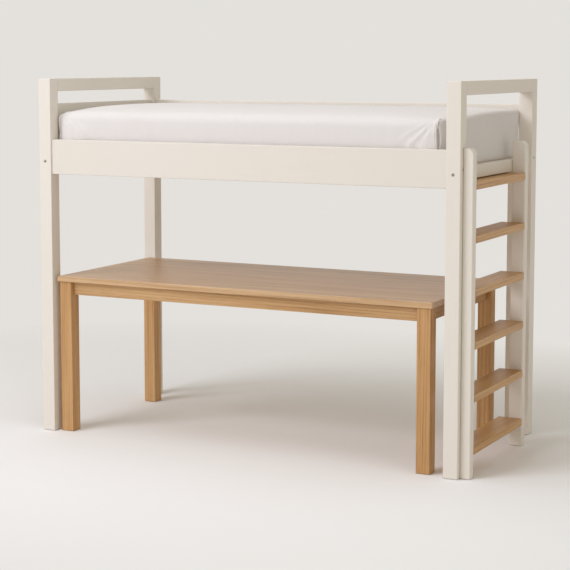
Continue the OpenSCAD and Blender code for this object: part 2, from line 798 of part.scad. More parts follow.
module desk_top_clips() color(steel) in_bed() at_clips() difference() {
    union() {
        translate([-clip_w / 2, 0, -clip_leg - clip_t]) cube([clip_w, clip_t, clip_leg + clip_t]);
        translate([-clip_w / 2, 0, -clip_t]) cube([clip_w, clip_leg + clip_t, clip_t]);
    }
    clip_wall_screw(true);
    clip_top_screw(true);
}

module desk_clip_screws() color(steel) in_bed() at_clips() {
    clip_wall_screw();
    clip_top_screw();
}

module desk_glides()
    color(nylon) in_bed() for (c = corners) desk_corner(c[1], c[2])
        translate([leg_w / 2, leg_w / 2, 0]) glide();

// ---------- What is drawn ----------

for (c = corners) post(c[1], c[2]);
top_rail(0);  // left_top_rail
top_rail(1);  // right_top_rail
left_guard_board();
rear_guard_board();
end_rail(0);  // left_end_rail
end_rail(1);  // right_end_rail
side_rail(0);  // front_side_rail
side_rail(1);  // rear_side_rail
rear_right_batten();
slat_ledger(0);  // front_slat_ledger
slat_ledger(1);  // rear_slat_ledger
slats();
mattress();
ladder_front_stile();
ladder_rear_stile();
for (i = [1:tread_count]) ladder_tread(i);
side_rail_bolts();
end_rail_bolts();
barrel_nuts();
side_rail_dowels();
end_rail_dowels();
top_rail_dowels();
guard_dowels();
ladder_bolts();
ladder_inserts();
tread_dowels();
batten_screws();
ledger_screws();
slat_screws();
bed_glides();
desk_top();
desk_long_apron(0);  // desk_front_apron
desk_long_apron(1);  // desk_rear_apron
desk_short_apron(0);  // desk_left_apron
desk_short_apron(1);  // desk_right_apron
for (c = corners) desk_leg(c[1], c[2]);
desk_corner_brackets();
desk_hanger_bolts();
desk_wing_nuts();
desk_bracket_screws();
desk_top_clips();
desk_clip_screws();
desk_glides();
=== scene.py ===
import math

import bmesh
import bpy
from mathutils import Matrix, Vector, noise
from mathutils.bvhtree import BVHTree


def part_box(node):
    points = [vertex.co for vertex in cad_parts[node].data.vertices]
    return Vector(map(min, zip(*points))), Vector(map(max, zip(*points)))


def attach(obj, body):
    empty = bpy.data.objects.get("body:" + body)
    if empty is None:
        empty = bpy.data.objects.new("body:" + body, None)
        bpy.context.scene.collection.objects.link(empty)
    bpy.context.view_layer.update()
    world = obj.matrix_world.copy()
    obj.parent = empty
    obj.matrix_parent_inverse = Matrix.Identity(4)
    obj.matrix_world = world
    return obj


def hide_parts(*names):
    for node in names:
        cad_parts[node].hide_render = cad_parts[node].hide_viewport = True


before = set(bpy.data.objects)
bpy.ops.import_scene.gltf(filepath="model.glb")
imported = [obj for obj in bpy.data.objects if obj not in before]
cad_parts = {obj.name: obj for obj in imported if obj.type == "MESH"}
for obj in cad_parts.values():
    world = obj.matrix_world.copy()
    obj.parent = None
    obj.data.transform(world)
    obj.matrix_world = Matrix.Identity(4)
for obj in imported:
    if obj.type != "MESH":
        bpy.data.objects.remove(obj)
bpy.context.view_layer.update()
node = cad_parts


# ---------- Bed frame: painted posts, rails and boards ----------
# Planed pine in a warm off-white satin paint. The posts and rails are bolted together on site;
# the paint is sprayed, so it shows a faint orange peel, the grain under it and thin edges.

class Wire:
    """One output of a node. Arithmetic on it adds Math nodes."""

    def __init__(self, recipe, socket):
        self.recipe = recipe
        self.socket = socket

    def _math(self, operation, first, second=0.0):
        return self.recipe.add("Math", {"operation": operation}, {0: first, 1: second})["Value"]

    def __add__(self, other):
        return self._math("ADD", self, other)

    def __sub__(self, other):
        return self._math("SUBTRACT", self, other)

    def __rsub__(self, other):
        return self._math("SUBTRACT", other, self)

    def __mul__(self, other):
        return self._math("MULTIPLY", self, other)

    def __truediv__(self, other):
        return self._math("DIVIDE", self, other)

    def __pow__(self, other):
        return self._math("POWER", self, other)

    def __abs__(self):
        return self._math("ABSOLUTE", self)

    __radd__ = __add__
    __rmul__ = __mul__

    def sine(self):
        return self._math("SINE", self)

    def at_least(self, low):
        return self._math("MAXIMUM", self, low)

    def clipped(self):
        """The same value, held between 0 and 1."""
        return self._math("MINIMUM", self, 1.0).at_least(0.0)

    def above(self, level, contrast):
        """0 up to a level, then a rise to 1 that is the steeper the higher the contrast."""
        return (self * contrast - level * contrast).clipped()


class Added:
    """A node just added: its outputs by name, as wires."""

    def __init__(self, recipe, made):
        self.recipe = recipe
        self.made = made

    def __getitem__(self, name):
        return Wire(self.recipe, self.made.outputs[name])


class Recipe:
    """The shader nodes of a new material or world."""

    # A Mix node has its sockets once for each kind of data, so the ones for colours go by number.
    MIX_SHARE, MIX_FIRST, MIX_SECOND, MIX_RESULT = 0, 6, 7, 2
    EDGE_SAMPLES = 6

    def __init__(self, owner):
        owner.use_nodes = True
        self.owner = owner
        self.tree = owner.node_tree

    def add(self, kind, settings=None, sockets=None):
        """Adds a ShaderNode of this kind: its settings first, then its sockets' values or links."""
        made = self.tree.nodes.new("ShaderNode" + kind)
        for key, value in (settings or {}).items():
            if key == "stops":
                self._set_stops(made.color_ramp, value)
            else:
                setattr(made, key, value)
        for key, value in (sockets or {}).items():
            self.plug(made.inputs[key], value)
        return Added(self, made)

    def plug(self, socket, value):
        if isinstance(value, Wire):
            self.tree.links.new(value.socket, socket)
        else:
            socket.default_value = value

    def _set_stops(self, ramp, stops):
        while len(ramp.elements) < len(stops):
            ramp.elements.new(0.5)
        for element, (place, colour) in zip(ramp.elements, stops):
            element.position = place
            element.color = (*colour, 1.0)

    def mix(self, share, first, second):
        """A colour between first and second."""
        made = self.add("Mix", {"data_type": "RGBA"}).made
        self.plug(made.inputs[self.MIX_SHARE], share)
        for place, colour in ((self.MIX_FIRST, first), (self.MIX_SECOND, second)):
            self.plug(made.inputs[place], colour if isinstance(colour, Wire) else (*colour, 1.0))
        return Wire(self, made.outputs[self.MIX_RESULT])

    def place(self, turn=(0, 0, 0), shift=(0, 0, 0), scale=(1, 1, 1)):
        """Object coordinates, turned and shifted first and then scaled."""
        coordinates = self.add("TexCoord")["Object"]
        sockets = {"Vector": coordinates, "Rotation": turn, "Location": shift}
        turned = self.add("Mapping", {"vector_type": "POINT"}, sockets)["Vector"]
        return self.add("VectorMath", {"operation": "MULTIPLY"}, {0: turned, 1: scale})["Vector"]

    def noise(self, where, fineness, detail=2.0, roughness=0.5, distortion=0.0):
        """Grey noise from 0 to 1; fineness is its number of lumps per metre."""
        sockets = {"Vector": where, "Scale": fineness, "Detail": detail, "Roughness": roughness,
                   "Distortion": distortion}
        return self.add("TexNoise", {}, sockets)["Fac"]

    def grain(self, turn, shift, draw, fineness, detail=2.0, roughness=0.5):
        """Noise drawn out along the grain; the smaller the draw, the longer its streaks."""
        return self.noise(self.place(turn, shift, (draw, 1, 1)), fineness, detail, roughness)

    def bump(self, height, distance, strength, edge=0.0):
        """A normal for a relief; edge is the radius that sharp edges are eased to."""
        sockets = {"Height": height, "Distance": distance, "Strength": strength}
        if edge:
            bevel = self.add("Bevel", {"samples": self.EDGE_SAMPLES}, {"Radius": edge})
            sockets["Normal"] = bevel["Normal"]
        return self.add("Bump", {}, sockets)["Normal"]

    def finish(self, **surface):
        """Plugs what is named into the shader, such as base_color=... or roughness=..."""
        shader = self.tree.nodes["Principled BSDF"]
        for name, value in surface.items():
            socket = shader.inputs[name.replace("_", " ").title().replace("Ior", "IOR")]
            if name == "base_color" and not isinstance(value, Wire):
                value = (*value, 1.0)
            self.plug(socket, value)
        return self.owner


def shade(red, green, blue):
    """A colour given as sRGB from 0 to 255, as a linear colour."""
    def linear(value):
        value /= 255
        return value / 12.92 if value <= 0.04045 else ((value + 0.055) / 1.055) ** 2.4
    return tuple(linear(value) for value in (red, green, blue))


def dress(name, material):
    """Gives a CAD piece one material."""
    node[name].data.materials.clear()
    node[name].data.materials.append(material)


ALONG_X = (0, 0, 0)
ALONG_Y = (0, 0, math.radians(90))
ALONG_Z = (0, math.radians(90), 0)

PAINT = shade(232, 225, 216)
PAINT_THIN = shade(226, 216, 203)
PAINT_CLOUDS = {"fineness": 3.0, "detail": 3.0}
PAINT_GRAIN = {"draw": 0.06, "fineness": 130.0, "detail": 3.0, "roughness": 0.6}
PAINT_PEEL = {"fineness": 900.0, "detail": 2.0}
PAINT_RELIEF = 0.00025
PAINT_EDGE = 0.005
PAINT_ROUGHNESS = 0.42
PAINT_GLOSS = 0.4
FULL_TONE = 1.0
LONG_BOARD_TONE = 0.965


def painted_wood(name, grain_turn, shift, tone):
    """Satin paint over pine whose grain runs along X, Y or Z."""
    full, thin = (tuple(value * tone for value in colour) for colour in (PAINT, PAINT_THIN))
    paint = Recipe(bpy.data.materials.new(name))
    along = paint.place(grain_turn, shift)
    cloud = paint.noise(along, **PAINT_CLOUDS)
    grain = paint.grain(grain_turn, shift, **PAINT_GRAIN)
    peel = paint.noise(along, **PAINT_PEEL)
    thinness = (cloud * 0.5 + grain * 0.35 - 0.2).clipped()
    relief = grain * 0.7 + peel * 0.3
    return paint.finish(base_color=paint.mix(thinness, full, thin),
                        roughness=cloud * 0.12 + PAINT_ROUGHNESS,
                        normal=paint.bump(relief, PAINT_RELIEF, strength=0.5, edge=PAINT_EDGE),
                        specular_ior_level=PAINT_GLOSS)


paint_upright = painted_wood("paint_upright", ALONG_Z, (0.3, 0.1, 0.0), FULL_TONE)
paint_long = painted_wood("paint_long", ALONG_X, (0.0, 0.7, 0.2), LONG_BOARD_TONE)
paint_across = painted_wood("paint_across", ALONG_Y, (0.5, 0.2, 0.9), FULL_TONE)

for upright in ("front_left_post", "rear_left_post", "front_right_post", "rear_right_post",
                "rear_right_batten", "ladder_front_stile", "ladder_rear_stile"):
    dress(upright, paint_upright)
for long_board in ("front_side_rail", "rear_side_rail", "rear_guard_board",
                   "front_slat_ledger", "rear_slat_ledger"):
    dress(long_board, paint_long)
for cross_board in ("left_top_rail", "right_top_rail", "left_end_rail", "right_end_rail",
                    "left_guard_board"):
    dress(cross_board, paint_across)


# ---------- Slats and dowels: bare beech ----------
# Beech strips lie across the ledgers and carry the mattress; beech dowels place the rails.
# The wood is planed and left bare: pale pinkish brown with short dark flecks.

BEECH_LIGHT = shade(222, 192, 152)
BEECH_DARK = shade(201, 165, 122)
BEECH_FLECK = shade(158, 118, 80)
BEECH_CLOUDS = {"fineness": 12.0, "detail": 2.0}
BEECH_STREAKS = {"draw": 0.05, "fineness": 90.0, "detail": 3.0}
BEECH_FLECKS = {"draw": 0.18, "fineness": 700.0, "detail": 1.0}
FLECK_LEVEL, FLECK_CONTRAST = 0.65, 6
BEECH_RELIEF = 0.0002
BEECH_ROUGHNESS = 0.55


def bare_beech(name, grain_turn):
    beech = Recipe(bpy.data.materials.new(name))
    cloud = beech.noise(beech.place(grain_turn), **BEECH_CLOUDS)
    streak = beech.grain(grain_turn, (0, 0, 0), **BEECH_STREAKS)
    fleck = beech.grain(grain_turn, (0, 0, 0), **BEECH_FLECKS)
    tint = beech.mix(streak, BEECH_LIGHT, BEECH_DARK)
    tint = beech.mix(fleck.above(FLECK_LEVEL, FLECK_CONTRAST) * 0.5, tint, BEECH_FLECK)
    return beech.finish(base_color=tint, roughness=cloud * 0.15 + BEECH_ROUGHNESS,
                        normal=beech.bump(fleck, BEECH_RELIEF, strength=0.4))


beech_across = bare_beech("beech_across", ALONG_Y)
beech_long = bare_beech("beech_long", ALONG_X)
for piece in ("slats", "end_rail_dowels", "top_rail_dowels", "tread_dowels"):
    dress(piece, beech_across)
for piece in ("side_rail_dowels", "guard_dowels"):
    dress(piece, beech_long)


# ---------- Ladder treads and desk: oak ----------
# Solid oak in a clear matt lacquer: treads doweled between the ladder's stiles, and a desk whose
# aprons are bolted to its legs. Every piece is cut along the grain from its own board, so each
# gets its own place in the tree: rings, streaks, pores and rays.

OAK_LIGHT = shade(216, 180, 137)
OAK_MID = shade(194, 154, 109)
OAK_DARK = shade(150, 110, 69)
OAK_PORE = shade(104, 70, 40)
OAK_SWAY = {"draw": 0.12, "fineness": 3.0, "detail": 2.0}
OAK_BROAD = {"draw": 0.05, "fineness": 22.0, "detail": 2.0}
OAK_STREAKS = {"draw": 0.02, "fineness": 85.0, "detail": 3.0, "roughness": 0.6}
OAK_FINE = {"draw": 0.015, "fineness": 260.0, "detail": 2.0}
OAK_PORES = {"draw": 0.03, "fineness": 620.0, "detail": 1.0}
OAK_RAYS = {"draw": 0.35, "fineness": 160.0, "detail": 1.0}
PORE_LEVEL, PORE_CONTRAST = 0.6, 7
RAY_LEVEL, RAY_CONTRAST = 0.675, 8
RAY_SHARE = 0.12
OAK_RING_RATE = 520
OAK_RING_SWAY = 0.022
OAK_TAPER = 0.012
OAK_RELIEF = 0.0003
OAK_EDGE = 0.003
OAK_ROUGHNESS = 0.42

# Each board's tone multiplies the oak's colours; its gloss is the lacquer's specular level.
PLAIN_TONE = (1.0, 1.0, 1.0)
APRON_TONE = (0.97, 0.94, 0.88)
# The right apron's darker tone is painted shade, for the shadow that falls on the desk's right end
# under the bed.
SHADED_APRON_TONE = (0.82, 0.76, 0.64)
LEG_TONE = (0.96, 0.88, 0.76)
# The rear left leg's lighter tone is painted light, lifting it out of the desk top's shadow.
LIT_REAR_LEG_TONE = (1.05, 1.0, 0.90)
TREAD_TONE = (0.92, 0.80, 0.51)
TOP_GLOSS = 0.8
TREAD_GLOSS = 0.6
APRON_GLOSS = 0.3
LEG_GLOSS = 0.25
NEAR_PITH = (0.05, -0.11)
TOP_PITH = (0.3, 0.35)


def lacquered_oak(name, grain_turn, board, tone, gloss, pith=NEAR_PITH):
    """Oak whose rings lie round a pith that runs beside the board; board moves it in the tree."""
    light, mid, dark, pore_colour = (tuple(a * b for a, b in zip(colour, tone))
                                     for colour in (OAK_LIGHT, OAK_MID, OAK_DARK, OAK_PORE))
    oak = Recipe(bpy.data.materials.new(name))
    sway = oak.grain(grain_turn, board, **OAK_SWAY) - 0.5
    split = oak.add("SeparateXYZ", {}, {0: oak.place(grain_turn, board)})
    across = split["Y"] - pith[0] + sway * OAK_RING_SWAY
    depth = split["Z"] - pith[1] + split["X"] * OAK_TAPER
    ring = (across * across + depth * depth) ** 0.5
    bands = (ring * OAK_RING_RATE + sway * 3).sine() * 0.5 + 0.5
    broad = oak.grain(grain_turn, board, **OAK_BROAD)
    streak = oak.grain(grain_turn, board, **OAK_STREAKS)
    fine = oak.grain(grain_turn, board, **OAK_FINE)
    pores = oak.grain(grain_turn, board, **OAK_PORES).above(PORE_LEVEL, PORE_CONTRAST)
    rays = oak.grain(grain_turn, board, **OAK_RAYS).above(RAY_LEVEL, RAY_CONTRAST)
    figure = (bands * 0.20 + broad * 0.8 + streak * 1.1 + fine * 0.45 - 0.86).clipped()
    wood = oak.add("ValToRGB", {"stops": ((0.0, light), (0.5, mid), (1.0, dark))},
                   {"Fac": figure})["Color"]
    tint = oak.mix(pores * (bands * 0.3 + 0.15), wood, pore_colour)
    tint = oak.mix(rays * RAY_SHARE, tint, light)
    relief = 1 - pores * 0.8 - fine * 0.3
    return oak.finish(base_color=tint,
                      roughness=OAK_ROUGHNESS - gloss * 0.15 + fine * 0.12 + pores * 0.1,
                      normal=oak.bump(relief, OAK_RELIEF, strength=0.5, edge=OAK_EDGE),
                      specular_ior_level=gloss)


TREAD_STEP = (0.37, 0.013, 0.21)
TREE_DEPTH = 0.05
for number in range(1, 7):
    along, across, depth = (step * number for step in TREAD_STEP)
    dress(f"ladder_tread_{number}",
          lacquered_oak(f"oak_tread_{number}", ALONG_Y, (along, across, depth % TREE_DEPTH),
                        TREAD_TONE, TREAD_GLOSS))

dress("desk_top", lacquered_oak("oak_desk_top", ALONG_X, (0.2, 0.1, 0.0), PLAIN_TONE, TOP_GLOSS,
                                TOP_PITH))

BOARD_STEP = (0.7, 0.06, 0.03)
desk_boards = (("front_apron", ALONG_X, APRON_TONE, APRON_GLOSS),
               ("rear_apron", ALONG_X, APRON_TONE, APRON_GLOSS),
               ("left_apron", ALONG_Y, APRON_TONE, APRON_GLOSS),
               ("right_apron", ALONG_Y, SHADED_APRON_TONE, APRON_GLOSS),
               ("front_left_leg", ALONG_Z, LEG_TONE, LEG_GLOSS),
               ("rear_left_leg", ALONG_Z, LIT_REAR_LEG_TONE, LEG_GLOSS),
               ("front_right_leg", ALONG_Z, LEG_TONE, LEG_GLOSS),
               ("rear_right_leg", ALONG_Z, LEG_TONE, LEG_GLOSS))
for number, (name, turn, tone, gloss) in enumerate(desk_boards):
    board = tuple(step * number for step in BOARD_STEP)
    dress(f"desk_{name}", lacquered_oak(f"oak_desk_{name}", turn, board, tone, gloss))


# ---------- Fittings: bolts, nuts, screws and brackets ----------
# Zinc-plated steel, a little dull. The bolts' heads lie just under the paint in the posts;
# everything else is out of sight inside the joints or under the desk.

ZINC = shade(186, 180, 170)
ZINC_DULLNESS = 0.72
ZINC_DULL = tuple(value * ZINC_DULLNESS for value in ZINC)
ZINC_BLOTCHES = {"fineness": 240.0, "detail": 3.0}
ZINC_CRYSTALS = {"fineness": 1500.0, "detail": 2.0}
ZINC_RELIEF = 0.0001
ZINC_ROUGHNESS = 0.32


def zinc_plate():
    zinc = Recipe(bpy.data.materials.new("zinc_plate"))
    where = zinc.place()
    blotch = zinc.noise(where, **ZINC_BLOTCHES)
    crystals = zinc.noise(where, **ZINC_CRYSTALS)
    return zinc.finish(base_color=zinc.mix(blotch, ZINC, ZINC_DULL), metallic=1.0,
                       roughness=blotch * 0.2 + ZINC_ROUGHNESS,
                       normal=zinc.bump(crystals, ZINC_RELIEF, strength=0.3))


zinc_finish = zinc_plate()
for fitting in ("side_rail_bolts", "end_rail_bolts", "barrel_nuts", "ladder_bolts",
                "ladder_inserts", "batten_screws", "ledger_screws", "slat_screws",
                "desk_corner_brackets", "desk_hanger_bolts", "desk_wing_nuts",
                "desk_bracket_screws", "desk_top_clips", "desk_clip_screws"):
    dress(fitting, zinc_finish)


# ---------- Floor glides ----------
# Round discs pressed under the posts, the ladder's stiles and the desk's legs, so that they
# slide on the floor. Moulded in off-white nylon, with scuffs.

NYLON = shade(226, 223, 215)
NYLON_SCUFFED = shade(196, 191, 180)
NYLON_SCUFFS = {"fineness": 120.0, "detail": 4.0}
NYLON_ROUGHNESS = 0.45


def moulded_nylon():
    nylon = Recipe(bpy.data.materials.new("nylon"))
    scuff = nylon.noise(nylon.place(), **NYLON_SCUFFS)
    return nylon.finish(base_color=nylon.mix(scuff, NYLON, NYLON_SCUFFED),
                        roughness=scuff * 0.2 + NYLON_ROUGHNESS)


nylon_finish = moulded_nylon()
for glides in ("bed_glides", "desk_glides"):
    dress(glides, nylon_finish)


# ---------- Mattress in its fitted sheet ----------
# A foam mattress in a white cotton fitted sheet. Elastic under the mattress draws the sheet down,
# so its top edge rounds over softly and cloth lies in upright folds beside its corners. It is
# drawn in most at the front right corner, where it is tucked under.

sheet_low, sheet_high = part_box("mattress")
SHEET_HALF_LENGTH = 1.002
SHEET_HALF_WIDTH = 0.4495
SHEET_HEIGHT = 0.243
SHEET_CROWN = 0.036
SIDE_TOP = SHEET_HEIGHT - SHEET_CROWN
CROWN_FALL_ALONG = 12
CROWN_FALL_ACROSS = 4
DRAW_ALONG = 0.0015
DRAW_ACROSS = 0.006
TOP_ROUNDING = 0.034
END_ROUNDING = 0.017
BOTTOM_ROUNDING = 0.018
CORNER_ROUNDING = 0.012
TUCK_DEPTH = 0.047
TUCK_REACH = 0.17
TUCK_LENGTH = 0.30
REAR_LIFT = 0.018
LIFT_REACH = 0.60

# The grid is fine near the ends and corners, where the cloth is rounded and folded.
FINE_STEP = 0.009
COARSE_STEP = 0.02
FINE_REACH = 0.30
SIDE_ROWS = 22


def grid_places(length):
    """Places of grid lines across a length: close together near both ends."""
    fine = round(FINE_REACH / FINE_STEP)
    inner = length - 2 * FINE_REACH
    coarse = round(inner / COARSE_STEP)
    start = [FINE_REACH * place / fine for place in range(fine)]
    middle = [FINE_REACH + inner * place / coarse for place in range(coarse + 1)]
    end = [length - place for place in start[::-1]]
    return [place - length / 2 for place in start + middle + end]


def rounded_edge(inset, drop, radius):
    """Moves a point near a square edge onto a quarter circle; inset and drop are from the edge."""
    across, down = inset - radius, drop - radius
    if across >= 0 or down >= 0:
        return inset, drop
    reach = math.hypot(across, down)
    return radius + across * radius / reach, radius + down * radius / reach


def eased(value, start, end):
    """0 before start, 1 after end and a smooth rise between them."""
    share = min(1.0, max(0.0, (value - start) / (end - start)))
    return share * share * (3 - 2 * share)


def tuck(place):
    """How far the right end is drawn in, where the front right corner is tucked under."""
    near_front = 1 - eased(place.y + SHEET_HALF_WIDTH, 0.0, TUCK_REACH)
    near_end = eased(place.x, SHEET_HALF_LENGTH - TUCK_LENGTH, SHEET_HALF_LENGTH)
    return TUCK_DEPTH * near_front * near_end


def sheet_point(x, y, share):
    """Where a point of the square box round the mattress lies on its rounded form."""
    corner = CORNER_ROUNDING
    over_x = abs(x) - SHEET_HALF_LENGTH + corner
    over_y = abs(y) - SHEET_HALF_WIDTH + corner
    sign_x, sign_y = math.copysign(1, x), math.copysign(1, y)
    if over_x > 0 and over_y > 0:
        reach = max(over_x, over_y) / math.hypot(over_x, over_y)
        out = Vector((over_x * sign_x, over_y * sign_y, 0)).normalized()
        x = sign_x * (SHEET_HALF_LENGTH - corner + over_x * reach)
        y = sign_y * (SHEET_HALF_WIDTH - corner + over_y * reach)
        inset = corner - max(over_x, over_y)
    elif over_x > over_y:
        out, inset = Vector((sign_x, 0, 0)), SHEET_HALF_LENGTH - abs(x)
    else:
        out, inset = Vector((0, sign_y, 0)), SHEET_HALF_WIDTH - abs(y)
    lift = REAR_LIFT * eased(y + SHEET_HALF_WIDTH, 0.0, LIFT_REACH)
    side_height = SIDE_TOP + lift
    edge = TOP_ROUNDING + (END_ROUNDING - TOP_ROUNDING) * max(0.0, out.x)
    new_inset, drop = rounded_edge(inset, side_height * (1 - share), edge)
    new_inset, rise = rounded_edge(new_inset, side_height - drop, BOTTOM_ROUNDING)
    place = Vector((x, y, rise)) + out * (inset - new_inset)
    along, across = min(1, abs(x) / SHEET_HALF_LENGTH), min(1, abs(y) / SHEET_HALF_WIDTH)
    if share > 0.5:
        swell = (SHEET_CROWN - lift) * (1 - along ** CROWN_FALL_ALONG)
        swell *= 1 - across ** CROWN_FALL_ACROSS
        place.z += swell * min(1, max(0, (rise - side_height + edge) / edge))
    place.x *= 1 - DRAW_ALONG * (1 - across ** 2)
    place.y *= 1 - DRAW_ACROSS * (1 - along ** 2)
    place.x -= tuck(place)
    return place


def sheet_grid():
    """The mattress's closed form as one grid of quads, its underside at z = 0."""
    lines = (grid_places(2 * SHEET_HALF_LENGTH), grid_places(2 * SHEET_HALF_WIDTH),
             [row / SIDE_ROWS for row in range(SIDE_ROWS + 1)])
    last = [len(line) - 1 for line in lines]
    shape = bmesh.new()
    made = {}

    def corner(key):
        if key not in made:
            made[key] = shape.verts.new(sheet_point(*(line[k] for line, k in zip(lines, key))))
        return made[key]

    for axis in range(3):
        first, second = (axis + 1) % 3, (axis + 2) % 3
        for end in (0, last[axis]):
            for a in range(last[first]):
                for b in range(last[second]):
                    ring = []
                    for step_a, step_b in ((0, 0), (1, 0), (1, 1), (0, 1)):
                        key = [end, end, end]
                        key[first], key[second] = a + step_a, b + step_b
                        ring.append(corner(tuple(key)))
                    shape.faces.new(ring if end else ring[::-1])
    mesh = bpy.data.meshes.new("fitted_sheet")
    shape.to_mesh(mesh)
    shape.free()
    mesh.shade_smooth()
    return mesh


SHEET_TIGHTNESS = 0.004
SHEET_FRAMES = 22
UNDERSIDE = 0.002
FIRM_HOLD = 0.5
LOOSE_HOLD = 0.04
LOOSE_REACH = 0.24
LOOSE_SPREAD = 1.7
LOOSE_TOP = SHEET_HEIGHT - 0.03
LOOSE_RISE = 0.10
LOOSE_GAIN = 2
MOVE_LIMIT = 0.014
CLOTH_SETTINGS = {"quality": 5, "mass": 0.2, "tension_stiffness": 30, "compression_stiffness": 15,
                  "shear_stiffness": 6, "bending_stiffness": 0.02, "pin_stiffness": 1.0,
                  "vertex_group_mass": "held", "shrink_min": SHEET_TIGHTNESS,
                  "use_pressure": True, "uniform_pressure_force": 1.0}


def hold_on_cloth(place):
    """How firmly the cloth is held: fast under the mattress, loosely beside its corners."""
    if place.z < UNDERSIDE:
        return 1.0
    from_corner = math.hypot(SHEET_HALF_LENGTH - abs(place.x), SHEET_HALF_WIDTH - abs(place.y))
    near = min(1.0, LOOSE_SPREAD * max(0.0, 1 - from_corner / LOOSE_REACH))
    low = min(1.0, max(0.0, (LOOSE_TOP - place.z) / LOOSE_RISE))
    return FIRM_HOLD + (LOOSE_HOLD - FIRM_HOLD) * min(1, near * low * LOOSE_GAIN)


def settled_places(sheet):
    """Where the sheet's points lie once the cloth has drawn itself snug round the mattress."""
    held = sheet.vertex_groups.new(name="held")
    for index, place in enumerate([vertex.co.copy() for vertex in sheet.data.vertices]):
        held.add([index], hold_on_cloth(place), "REPLACE")
    cloth = sheet.modifiers.new("snug", "CLOTH")
    for setting, value in CLOTH_SETTINGS.items():
        setattr(cloth.settings, setting, value)
    cloth.settings.effector_weights.gravity = 0
    cloth.collision_settings.use_collision = False
    cloth.point_cache.frame_start = 1
    cloth.point_cache.frame_end = SHEET_FRAMES
    for frame_number in range(1, SHEET_FRAMES + 1):
        bpy.context.scene.frame_set(frame_number)
    settled = sheet.evaluated_get(bpy.context.evaluated_depsgraph_get()).to_mesh()
    places = [vertex.co.copy() for vertex in settled.vertices]
    sheet.modifiers.remove(cloth)
    sheet.vertex_groups.clear()
    bpy.context.scene.frame_set(1)
    return places


sheet = bpy.data.objects.new("fitted_sheet", sheet_grid())
bpy.context.scene.collection.objects.link(sheet)
for vertex, place in zip(sheet.data.vertices, settled_places(sheet)):
    step = place - vertex.co
    if step.length > MOVE_LIMIT:
        step *= MOVE_LIMIT / step.length
    vertex.co += step
smoother = sheet.modifiers.new("smooth cloth", "SUBSURF")
smoother.levels = smoother.render_levels = 1
smooth_sheet = sheet.evaluated_get(bpy.context.evaluated_depsgraph_get())
sheet.data = bpy.data.meshes.new_from_object(smooth_sheet)
sheet.modifiers.clear()

REAR_SEAM = {"inset": 0.003, "bow": 0.0, "groove": 0.001, "groove_shift": 0.008, "ridge": 0.0}
LEFT_SEAM = {"inset": 0.010, "bow": 0.0, "groove": 0.007, "groove_shift": 0.008, "ridge": 0.0}
TUCKED_SEAM = {"inset": TUCK_DEPTH + 0.014, "bow": 0.005, "groove": 0.014, "groove_shift": -0.009,
               "ridge": 0.004}
BOW_HEIGHT = 0.14
GROOVE_WIDTH = 0.005
RIDGE_SHIFT = 0.006
RIDGE_WIDTH = 0.006

# The folds fan out from each corner: they rise and fall over these distances from it, and over
# these angles from its seam.
FOLD_DEPTH = 0.005
FOLD_RATE = 20.0
FOLD_SHARPNESS = 1.6
FOLD_RISE = (0.03, 0.09)
FOLD_FALL = (0.13, 0.26)
FAN_RISE = (0.15, 0.40)
FAN_FALL = (0.8, 1.2)
FAN_CENTRE = 0.015
WANDER_RATE = 9
WANDER = 2.2
END_FOLD_SHARE = 0.1

RIPPLE_DEPTH = 0.0016
RIPPLE_RATE = 26
RIPPLE_RATE_UP = 4
RIPPLE_REACH = 0.05
LYING_FLAT = (0.35, 0.8)
END_PRESS = 0.004
END_PRESS_REACH = 0.03

# The cloth stays between the inner faces of the rails.
FRAME_HALF_LENGTH = 1.0036
FRAME_HALF_WIDTH = 0.4560


def nearest_seam(x, y):
    """The sewing at the nearest corner; the front right corner is tucked and shows most."""
    if y > 0:
        return REAR_SEAM
    return TUCKED_SEAM if x > 0 else LEFT_SEAM


def seam_reach(x, y, z):
    """How far along the mattress the seam of the nearest corner lies at this height."""
    seam = nearest_seam(x, y)
    bowed = math.sin(math.pi * min(1, max(0, (SIDE_TOP - z) / BOW_HEIGHT)))
    return SHEET_HALF_LENGTH - seam["inset"] - seam["bow"] * bowed


def bell(distance, width):
    """1 at no distance, and a smooth fall to 0 that is as wide as this on either side."""
    return math.exp(-(distance / width) ** 2)


def cloth_relief(place, outward):
    """How far a point of the sheet's sides stands out in the folds or lies back beside a seam."""
    upright = 1 - eased(abs(outward.z), *LYING_FLAT)
    if upright == 0:
        return 0.0
    drop = SIDE_TOP - place.z
    on_long_side = abs(outward.y) > abs(outward.x)
    if on_long_side:
        along = seam_reach(*place) - abs(place.x)
    else:
        along = SHEET_HALF_WIDTH - abs(place.y)
    angle = math.atan2(max(0.0, along), drop + FAN_CENTRE)
    reach = math.hypot(along, drop)
    fan = eased(reach, *FOLD_RISE) * (1 - eased(reach, *FOLD_FALL))
    fan *= eased(angle, *FAN_RISE) * (1 - eased(angle, *FAN_FALL))
    wander = noise.noise(place * WANDER_RATE) * WANDER
    crest = (0.5 + 0.5 * math.sin(angle * FOLD_RATE + wander)) ** FOLD_SHARPNESS
    depth = FOLD_DEPTH * (1.0 if on_long_side else END_FOLD_SHARE)
    rippled = Vector((place.x * RIPPLE_RATE, place.y * RIPPLE_RATE, place.z * RIPPLE_RATE_UP))
    ripple = noise.noise(rippled) * RIPPLE_DEPTH
    relief = depth * fan * crest + ripple * eased(drop, 0.0, RIPPLE_REACH)
    if on_long_side:
        seam = nearest_seam(place.x, place.y)
        relief -= seam["groove"] * bell(along - seam["groove_shift"], GROOVE_WIDTH)
        relief += seam["ridge"] * bell(along - RIDGE_SHIFT, RIDGE_WIDTH)
    return relief * upright


